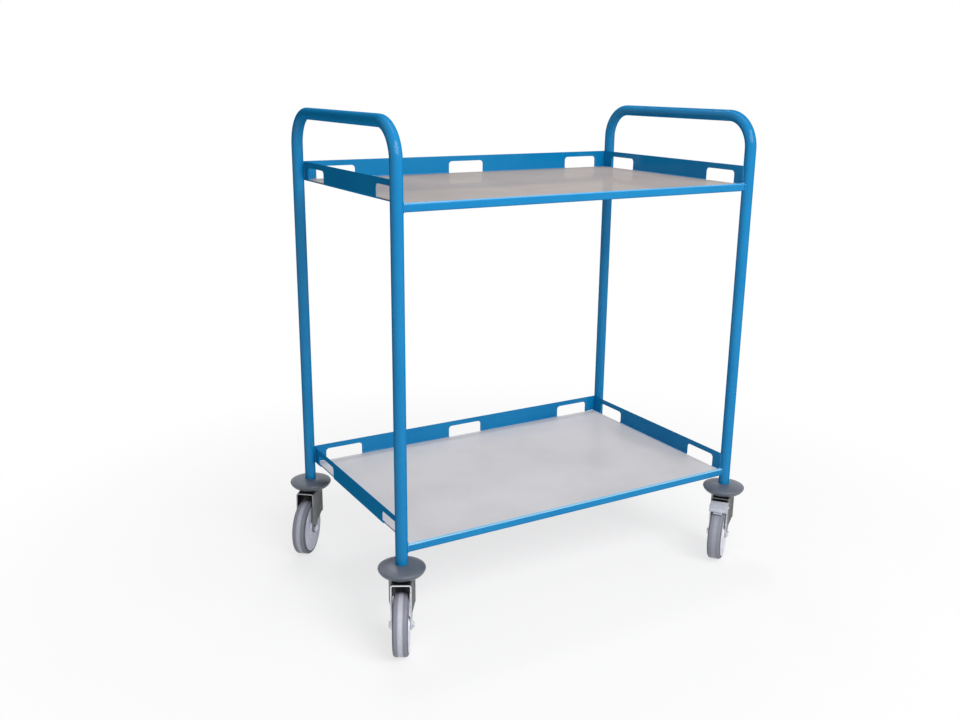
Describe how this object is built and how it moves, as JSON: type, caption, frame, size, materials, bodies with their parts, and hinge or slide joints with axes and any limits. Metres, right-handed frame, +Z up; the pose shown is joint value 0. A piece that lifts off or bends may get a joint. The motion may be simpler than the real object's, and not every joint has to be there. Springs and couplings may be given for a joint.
{
  "type": "two-shelf service cart",
  "caption": "Tubular steel service cart with slotted upstand rims on the shelves, push handles at both ends, round bumper discs and braked swivel castors.",
  "frame": {"origin": "on the floor, midway between the four posts", "axes": "+X along the length, +Y towards the high rear rim, +Z up"},
  "size_m": [1.0087, 0.7001, 1.0465],
  "materials": {
    "blue_paint": "glossy light blue powder coat",
    "grey_board": "glossy pale grey coating",
    "bumper_plastic": "satin grey",
    "zinc_plate": "bright zinc plate",
    "dark_zinc": "dull dark zinc",
    "plain_steel": "turned steel",
    "bearing_steel": "polished",
    "hub_plastic": "moulded grey",
    "grey_rubber": "smooth non-marking grey"
  },
  "bodies": {
    "cart_frame": {"left_end_hoop": "blue_paint", "right_end_hoop": "blue_paint", "lower_rear_rim": "blue_paint", "lower_left_rim": "blue_paint", "lower_right_rim": "blue_paint", "lower_front_rail": "blue_paint", "lower_board": "grey_board", "lower_stiffeners": "blue_paint", "upper_rear_rim": "blue_paint", "upper_left_rim": "blue_paint", "upper_right_rim": "blue_paint", "upper_front_rail": "blue_paint", "upper_board": "grey_board", "upper_stiffeners": "blue_paint", "front_left_bumper": "bumper_plastic", "front_left_tube_plug": "plain_steel", "front_left_stem_bolt": "zinc_plate", "front_left_swivel_head": "dark_zinc", "front_left_swivel_balls": "bearing_steel", "rear_left_bumper": "bumper_plastic", "rear_left_tube_plug": "plain_steel", "rear_left_stem_bolt": "zinc_plate", "rear_left_swivel_head": "dark_zinc", "rear_left_swivel_balls": "bearing_steel", "front_right_bumper": "bumper_plastic", "front_right_tube_plug": "plain_steel", "front_right_stem_bolt": "zinc_plate", "front_right_swivel_head": "dark_zinc", "front_right_swivel_balls": "bearing_steel", "rear_right_bumper": "bumper_plastic", "rear_right_tube_plug": "plain_steel", "rear_right_stem_bolt": "zinc_plate", "rear_right_swivel_head": "dark_zinc", "rear_right_swivel_balls": "bearing_steel"},
    "front_left_castor": {"front_left_fork": "zinc_plate", "front_left_axle_bolt": "zinc_plate", "front_left_axle_sleeve": "plain_steel"},
    "front_left_wheel": {"front_left_hub": "hub_plastic", "front_left_tyre": "grey_rubber"},
    "rear_left_castor": {"rear_left_fork": "zinc_plate", "rear_left_axle_bolt": "zinc_plate", "rear_left_axle_sleeve": "plain_steel"},
    "rear_left_wheel": {"rear_left_hub": "hub_plastic", "rear_left_tyre": "grey_rubber"},
    "front_right_castor": {"front_right_fork": "zinc_plate", "front_right_axle_bolt": "zinc_plate", "front_right_axle_sleeve": "plain_steel", "front_right_brake_pin": "zinc_plate"},
    "front_right_wheel": {"front_right_hub": "hub_plastic", "front_right_tyre": "grey_rubber"},
    "front_right_brake": {"front_right_brake_pedal": "zinc_plate"},
    "rear_right_castor": {"rear_right_fork": "zinc_plate", "rear_right_axle_bolt": "zinc_plate", "rear_right_axle_sleeve": "plain_steel", "rear_right_brake_pin": "zinc_plate"},
    "rear_right_wheel": {"rear_right_hub": "hub_plastic", "rear_right_tyre": "grey_rubber"},
    "rear_right_brake": {"rear_right_brake_pedal": "zinc_plate"}
  },
  "joints": [
    {"name": "front_left_swivel", "type": "hinge", "parent": "cart_frame", "child": "front_left_castor", "pos_m": [-0.43, -0.255, 0.15], "axis": [0, 0, 1], "continuous": true},
    {"name": "front_left_roll", "type": "hinge", "parent": "front_left_castor", "child": "front_left_wheel", "pos_m": [-0.45052, -0.29279, 0.0625], "axis": [0.8788, -0.4772, 0], "continuous": true},
    {"name": "rear_left_swivel", "type": "hinge", "parent": "cart_frame", "child": "rear_left_castor", "pos_m": [-0.43, 0.255, 0.15], "axis": [0, 0, 1], "continuous": true},
    {"name": "rear_left_roll", "type": "hinge", "parent": "rear_left_castor", "child": "rear_left_wheel", "pos_m": [-0.45729, 0.22177, 0.0625], "axis": [0.7727, -0.6347, 0], "continuous": true},
    {"name": "front_right_swivel", "type": "hinge", "parent": "cart_frame", "child": "front_right_castor", "pos_m": [0.43, -0.255, 0.15], "axis": [0, 0, 1], "continuous": true},
    {"name": "front_right_roll", "type": "hinge", "parent": "front_right_castor", "child": "front_right_wheel", "pos_m": [0.3963, -0.28171, 0.0625], "axis": [0.6211, -0.7837, 0], "continuous": true},
    {"name": "front_right_brake_press", "type": "hinge", "parent": "front_right_castor", "child": "front_right_brake", "pos_m": [0.39082, -0.28606, 0.132], "axis": [0.6211, -0.7837, 0], "range_deg": [0, 9]},
    {"name": "rear_right_swivel", "type": "hinge", "parent": "cart_frame", "child": "rear_right_castor", "pos_m": [0.43, 0.255, 0.15], "axis": [0, 0, 1], "continuous": true},
    {"name": "rear_right_roll", "type": "hinge", "parent": "rear_right_castor", "child": "rear_right_wheel", "pos_m": [0.45527, 0.28979, 0.0625], "axis": [-0.809, 0.5878, 0], "continuous": true},
    {"name": "rear_right_brake_press", "type": "hinge", "parent": "rear_right_castor", "child": "rear_right_brake", "pos_m": [0.45939, 0.29545, 0.132], "axis": [-0.809, 0.5878, 0], "range_deg": [0, 9]}
  ]
}
